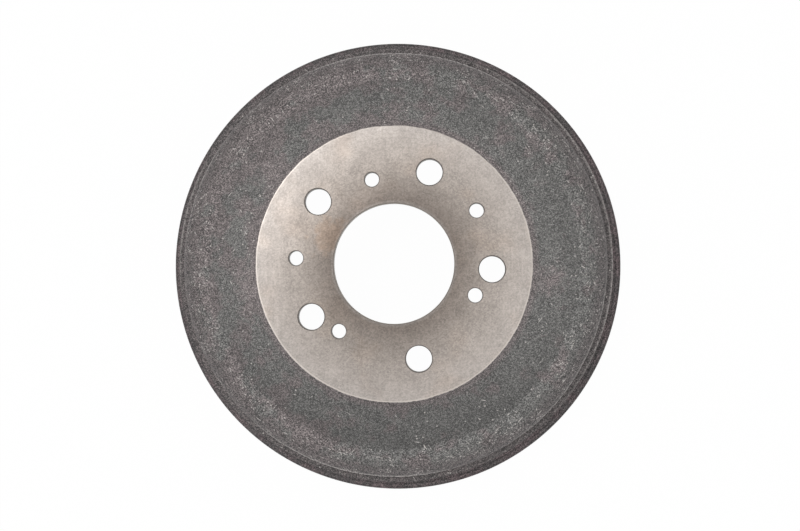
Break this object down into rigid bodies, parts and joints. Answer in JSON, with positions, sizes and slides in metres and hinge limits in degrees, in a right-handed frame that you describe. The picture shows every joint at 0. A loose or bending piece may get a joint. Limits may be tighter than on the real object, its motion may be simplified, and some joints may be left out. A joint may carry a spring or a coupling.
{
  "type": "brake drum",
  "caption": "One-piece cast-iron brake drum with a turned wheel face, a centre bore, stud holes, jack and screw holes, a dished web, a rounded shoulder and an open rim.",
  "frame": {"origin": "centre of the open rim's plane, on the drum's axis", "axes": "+Z along the drum's axis, from the open rim to the wheel face; +Y along the line of symmetry of the hole pattern, towards the single screw hole"},
  "size_m": [0.2736, 0.2736, 0.064],
  "materials": {
    "iron": "as cast, turned on its faces"
  },
  "bodies": {
    "root": {"brake_drum": "iron"}
  },
  "joints": []
}
